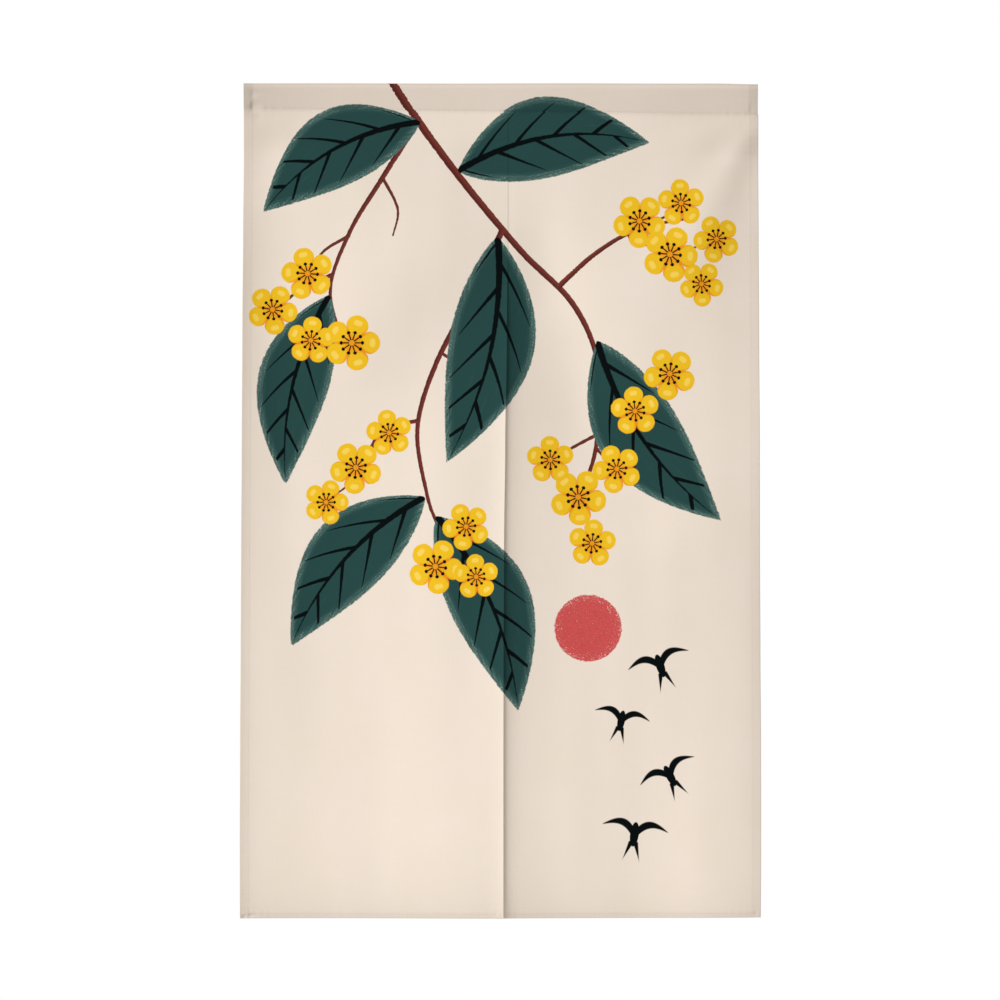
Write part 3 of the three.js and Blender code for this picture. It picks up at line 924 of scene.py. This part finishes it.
def stitches(points, flats, reverse, thread):
    """Short bent tubes along a path, as points, cells, flat places and a flag for the reverse.

    Each stitch follows a piece of the path for its length and rises over the cloth in a low arch,
    with both ends sunk in. The path is given as dense points and their flat places.
    """
    run = np.concatenate([[0], np.cumsum(np.linalg.norm(np.diff(points, axis=0), axis=1))])
    length, radius = thread.stitch / MM, thread.thickness / MM / 2
    middles = np.arange(thread.spacing / MM / 2, run[-1], thread.spacing / MM)
    sections, sides = 5, 6
    along = np.linspace(-1, 1, sections)
    places = middles[:, None] + along * length / 2

    def at(values):
        found = [np.interp(places.ravel(), run, values[:, axis]) for axis in range(values.shape[1])]
        return np.stack(found, axis=-1).reshape(*places.shape, -1)

    centre, tangent = at(points), at(np.gradient(points, axis=0))
    tangent /= np.linalg.norm(tangent, axis=-1, keepdims=True)
    outward = np.broadcast_to([0.0, 1.0 if reverse else -1.0, 0.0], tangent.shape)
    outward = outward - (outward * tangent).sum(-1, keepdims=True) * tangent
    outward /= np.linalg.norm(outward, axis=-1, keepdims=True)
    across = np.cross(tangent, outward)
    arch = 1.2 * radius * (1 - along**2) - 1.3 * radius * along**4
    thin = radius * np.sqrt(1 - 0.75 * along**4)
    turn = np.arange(sides) * 2 * np.pi / sides
    rings = (centre[:, :, None]
             + outward[:, :, None] * (arch[:, None] + thin[:, None] * np.cos(turn))[..., None]
             + across[:, :, None] * (thin[:, None] * np.sin(turn))[..., None])
    index = np.arange(len(middles) * sections * sides).reshape(len(middles), sections, sides)
    after = np.roll(index, -1, axis=2)
    walls = np.stack([index[:, :-1], after[:, :-1], after[:, 1:], index[:, 1:]], axis=-1)
    first, last = index[:, 0], index[:, -1]
    caps = np.concatenate([
        first[:, [0, 5, 4, 3]], first[:, [0, 3, 2, 1]], last[:, [0, 1, 2, 3]], last[:, [0, 3, 4, 5]],
    ])
    flat = np.repeat(at(flats)[:, :, None], sides, axis=2).reshape(-1, 2)
    cells = np.concatenate([walls.reshape(-1, 4), caps])
    return rings.reshape(-1, 3), cells, flat, np.full(len(flat), float(reverse))


def sewn_piece(name, lines, material, thread):
    """One piece of thread from several lines of stitches, printed over like the cloth."""
    points, cells, flats, reverses = zip(*(stitches(*line, thread) for line in lines))
    starts = np.cumsum([0] + [len(made) for made in points])
    cells = np.concatenate([quads + start for quads, start in zip(cells, starts)])
    flat = np.concatenate(flats)
    # the thread takes half the painted shade of double cloth
    attributes = cloth_attributes(flat, 0.5, np.concatenate(reverses), 1.0)
    piece = make_piece(name, np.concatenate(points), cells, material, flat, attributes)
    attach(piece, "root")


def panel_line(side, share, level, cloth, reverse):
    """A line to stitch along on one face of a panel."""
    faces = panel_faces(side, *np.broadcast_arrays(share, level), cloth)
    return faces["back" if reverse else "front"], faces["flat"], reverse


def panel_stitches(side, cloth, material, thread):
    """Hem stitching of one panel: outer side and bottom on both faces, the slit's hem at the back."""
    at_slit = (SLIT_HEM - STITCH_INSET) / PANEL_WIDTH
    at_side = 1 - (SIDE_HEM - STITCH_INSET) / PANEL_WIDTH
    at_bottom = 1 - (BOTTOM_HEM - STITCH_INSET) / PANEL_HEIGHT
    down, across = np.linspace(0.004, at_bottom, 900), np.linspace(at_slit, at_side, 300)
    slit_down = down[down > (-SLIT_TOP - SEAM_LEFT) / PANEL_HEIGHT]
    lines = [panel_line(side, at_slit, slit_down, cloth, True)]
    for reverse in (False, True):
        lines.append(panel_line(side, at_side, down, cloth, reverse))
        lines.append(panel_line(side, across, at_bottom, cloth, reverse))
    sewn_piece(f"{side}_thread", lines, material, thread)


def heading_stitches(cloth, material, thread):
    """The line of stitches that closes the heading, front and back."""
    x = np.linspace(HEADING_LOW[0] + 2, HEADING_HIGH[0] - 2, 600)
    lines = []
    for reverse in (False, True):
        back = np.full(x.shape, float(reverse))
        points = sleeve_face(x, np.full(x.shape, 0.955), back, 0.0, cloth)
        lines.append((points, heading_flat(points, back), reverse))
    sewn_piece("heading_thread", lines, material, thread)


def number_property(name, description, value, **kind):
    return bpy.props.FloatProperty(name=name, description=description, default=value, **kind)


def length_property(name, description, metres):
    return number_property(name, description, metres, unit="LENGTH", precision=5)


def share_property(name, description, share):
    return number_property(name, description, share, min=0.0, max=1.0, subtype="FACTOR")


def colour_property(name, description, *rgb):
    """A display colour as a property, from 8-bit values."""
    return bpy.props.FloatVectorProperty(name=name, description=description, subtype="COLOR_GAMMA",
                                         size=3, min=0.0, max=1.0, default=[value / 255 for value in rgb])


class NorenCloth(bpy.types.PropertyGroup):
    """Sizes of the cloth."""

    thickness: length_property("Cloth", "Thickness of one layer", 0.0007)
    hem_thickness: length_property("Hem", "What a folded hem adds at the back", 0.001)
    pitch: length_property("Grid", "Widest spacing of the cloth's points", 0.004)


class NorenLook(bpy.types.PropertyGroup):
    """Colours of the cloth, the print and the thread."""

    cloth: colour_property("Cloth", "Undyed cloth", 236, 222, 209)
    cloth_warm: colour_property("Cloth, warmer", "The cloth's warmer patches", 234, 220, 204)
    leaf: colour_property("Leaf", "Leaves", 37, 70, 68)
    leaf_dry: colour_property("Leaf, dry brush", "Where the brush ran dry", 92, 124, 117)
    ink: colour_property("Ink", "Veins, stamens and birds", 2, 8, 10)
    wood: colour_property("Wood", "Branches", 112, 51, 42)
    wood_dark: colour_property("Wood, dark", "Lower side of the branches", 90, 38, 33)
    petal: colour_property("Petal", "Blossoms", 237, 189, 33)
    petal_shade: colour_property("Petal, shaded", "Towards the middle of a blossom", 232, 142, 26)
    petal_light: colour_property("Petal, light", "Dabs of light on the petals", 250, 220, 112)
    sun: colour_property("Sun", "The round sun", 204, 84, 82)
    sun_dark: colour_property("Sun, dark", "Its denser patches", 194, 73, 74)
    yarn_pitch: length_property("Yarn pitch", "Spacing of the yarns", 0.0006)
    # painted shade: how strongly the darkening of double cloth, the crease and the lower left is painted
    # into the colour
    painted_shade_depth: share_property("Doubled cloth", "How much darker doubled cloth is", 0.09)
    reverse_fade: share_property("Reverse", "How much the print fades on the reverse", 0.72)


class NorenThread(bpy.types.PropertyGroup):
    """Sizes of the stitching."""

    thickness: length_property("Thread", "Thickness of the thread", 0.00032)
    stitch: length_property("Stitch", "Length of one stitch", 0.0024)
    spacing: length_property("Spacing", "From one stitch to the next", 0.0032)


class NorenStage(bpy.types.PropertyGroup):
    """The studio."""

    floor: colour_property("Floor", "The floor", 236, 236, 234)
    floor_height: length_property("Floor height", "Height of the floor, from the top edge", -1.95)
    key_strength: number_property("Key light", "Strength of the main light", 2.86)
    key_softness: number_property("Key softness", "Angle that the main light spans", 0.38,
                                  subtype="ANGLE")
    back_power: number_property("Back light", "Power of the light behind", 60.0, unit="POWER")
    ambient: number_property("Ambient", "Strength of the light from all round", 0.375)
    distance: length_property("Camera distance", "From the camera to the cloth", 12.0)


class NOREN_OT_heading(bpy.types.Operator):
    """Make the folded heading that forms the rod sleeve"""

    bl_idname = "noren.heading"
    bl_label = "Make heading"

    def execute(self, context):
        look, cloth = context.scene.noren_look, context.scene.noren_cloth
        make_heading(cloth, printed_cloth("heading_print", look))
        return {"FINISHED"}


class NOREN_OT_panels(bpy.types.Operator):
    """Make the two hemmed panels"""

    bl_idname = "noren.panels"
    bl_label = "Make panels"

    def execute(self, context):
        look, cloth = context.scene.noren_look, context.scene.noren_cloth
        material = printed_cloth("panel_print", look)
        for side, node in ((LEFT, "left_panel"), (RIGHT, "right_panel")):
            piece = make_panel(f"{side}_cloth", side, cloth, material)
            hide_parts(node)
        return {"FINISHED"}


class NOREN_OT_stitching(bpy.types.Operator):
    """Sew the heading and the hems"""

    bl_idname = "noren.stitching"
    bl_label = "Make stitching"

    def execute(self, context):
        scene = context.scene
        material = printed_cloth("thread_print", scene.noren_look)
        heading_stitches(scene.noren_cloth, material, scene.noren_thread)
        for side in (LEFT, RIGHT):
            panel_stitches(side, scene.noren_cloth, material, scene.noren_thread)
        return {"FINISHED"}


class NOREN_OT_stage(bpy.types.Operator):
    """Make the floor, the lights and the camera"""

    bl_idname = "noren.stage"
    bl_label = "Make stage"

    def execute(self, context):
        make_stage(context.scene, context.scene.noren_stage)
        return {"FINISHED"}


# The stage, in metres: the lights and what they aim at, the floor, and the camera's straight view, in
# which the curtain takes up a share of the frame's height
MIDDLE = (0.0, 0.0, -0.65)
KEY_FROM = (-2.57, -2.32, 1.35)
BEHIND_FROM, BEHIND_SIZE = (1.8, 3.4, 0.4), 2.4
FLOOR_HALF = 3.0
FLOOR_CORNERS = np.array([(-1, -1), (1, -1), (1, 1), (-1, 1)])
VIEW_X, VIEW_Z = -0.0016, -0.6485
CURTAIN_IN_FRAME = 0.835
SENSOR_WIDTH = 36.0


def aimed(thing, place, target):
    """Puts a light or camera at a place, looking at a target."""
    thing.location = place
    thing.rotation_euler = (Vector(target) - Vector(place)).to_track_quat("-Z", "Y").to_euler()
    bpy.context.scene.collection.objects.link(thing)


def light(name, kind, place, **settings):
    """A light that shines on the middle of the cloth."""
    made = bpy.data.lights.new(name, kind)
    for label, value in settings.items():
        setattr(made, label, value)
    aimed(bpy.data.objects.new(name, made), place, MIDDLE)


def make_stage(scene, stage):
    """A pale floor far below the hem, a soft key light from the upper left and an even white surround."""
    points = np.insert(FLOOR_HALF * FLOOR_CORNERS, 2, stage.floor_height, axis=1) / MM
    s = Shader("floor_paint")
    place = s.node("ShaderNodeTexCoord").outputs["Object"]
    paler = linear([value * 0.99 for value in stage.floor])
    painted = s.mix(s.step(-1.0, 1.0, s.noise(place, 3.0)), linear(stage.floor), paler)
    s.put(s.surface.inputs["Base Color"], painted)
    s.surface.inputs["Roughness"].default_value = 0.8
    make_piece("floor", points, np.array([[0, 1, 2, 3]]), s.material)

    light("key", "SUN", KEY_FROM, energy=stage.key_strength, angle=stage.key_softness)
    light("behind", "AREA", BEHIND_FROM, energy=stage.back_power, size=BEHIND_SIZE)

    # the camera sees a white surround, and the cloth is lit by a dimmer, slightly warm one
    world = bpy.data.worlds.new("studio")
    world.use_nodes = True
    tree = world.node_tree
    seen = tree.nodes["Background"]
    lit = tree.nodes.new("ShaderNodeBackground")
    seen.inputs["Color"].default_value = (1.0, 1.0, 1.0, 1.0)
    lit.inputs["Color"].default_value = (1.0, 0.99, 0.975, 1.0)
    lit.inputs["Strength"].default_value = stage.ambient
    chosen = tree.nodes.new("ShaderNodeMixShader")
    path = tree.nodes.new("ShaderNodeLightPath")
    tree.links.new(path.outputs["Is Camera Ray"], chosen.inputs["Fac"])
    tree.links.new(lit.outputs["Background"], chosen.inputs[1])
    tree.links.new(seen.outputs["Background"], chosen.inputs[2])
    tree.links.new(chosen.outputs["Shader"], tree.nodes["World Output"].inputs["Surface"])
    scene.world = world
    scene.view_settings.view_transform = "Standard"

    data = bpy.data.cameras.new("camera")
    data.sensor_width = SENSOR_WIDTH
    data.lens = SENSOR_WIDTH * stage.distance / (DROP * MM / CURTAIN_IN_FRAME)
    camera = bpy.data.objects.new("camera", data)
    aimed(camera, (VIEW_X, -stage.distance, VIEW_Z), (VIEW_X, 0.0, VIEW_Z))
    scene.camera = camera


class NOREN_PT_parts(bpy.types.Panel):
    """Lists the curtain's pieces"""

    bl_label = "Noren curtain"
    bl_space_type = "VIEW_3D"
    bl_region_type = "UI"
    bl_category = "Noren"

    def draw(self, context):
        for operator in OPERATORS:
            self.layout.operator(operator.bl_idname)
        for label, kind in GROUPS.items():
            box = self.layout.box()
            for name in kind.__annotations__:
                box.prop(getattr(context.scene, label), name)


GROUPS = {"noren_cloth": NorenCloth, "noren_look": NorenLook, "noren_thread": NorenThread,
          "noren_stage": NorenStage}
OPERATORS = (NOREN_OT_heading, NOREN_OT_panels, NOREN_OT_stitching, NOREN_OT_stage)


def register():
    for kind in (*GROUPS.values(), *OPERATORS, NOREN_PT_parts):
        bpy.utils.register_class(kind)
    for name, group in GROUPS.items():
        setattr(bpy.types.Scene, name, bpy.props.PointerProperty(type=group))


def unregister():
    for name in GROUPS:
        delattr(bpy.types.Scene, name)
    for kind in reversed((*GROUPS.values(), *OPERATORS, NOREN_PT_parts)):
        bpy.utils.unregister_class(kind)


def main():
    register()
    bpy.ops.noren.heading()
    bpy.ops.noren.panels()
    bpy.ops.noren.stitching()
    bpy.ops.noren.stage()


if __name__ == "__main__":
    main()
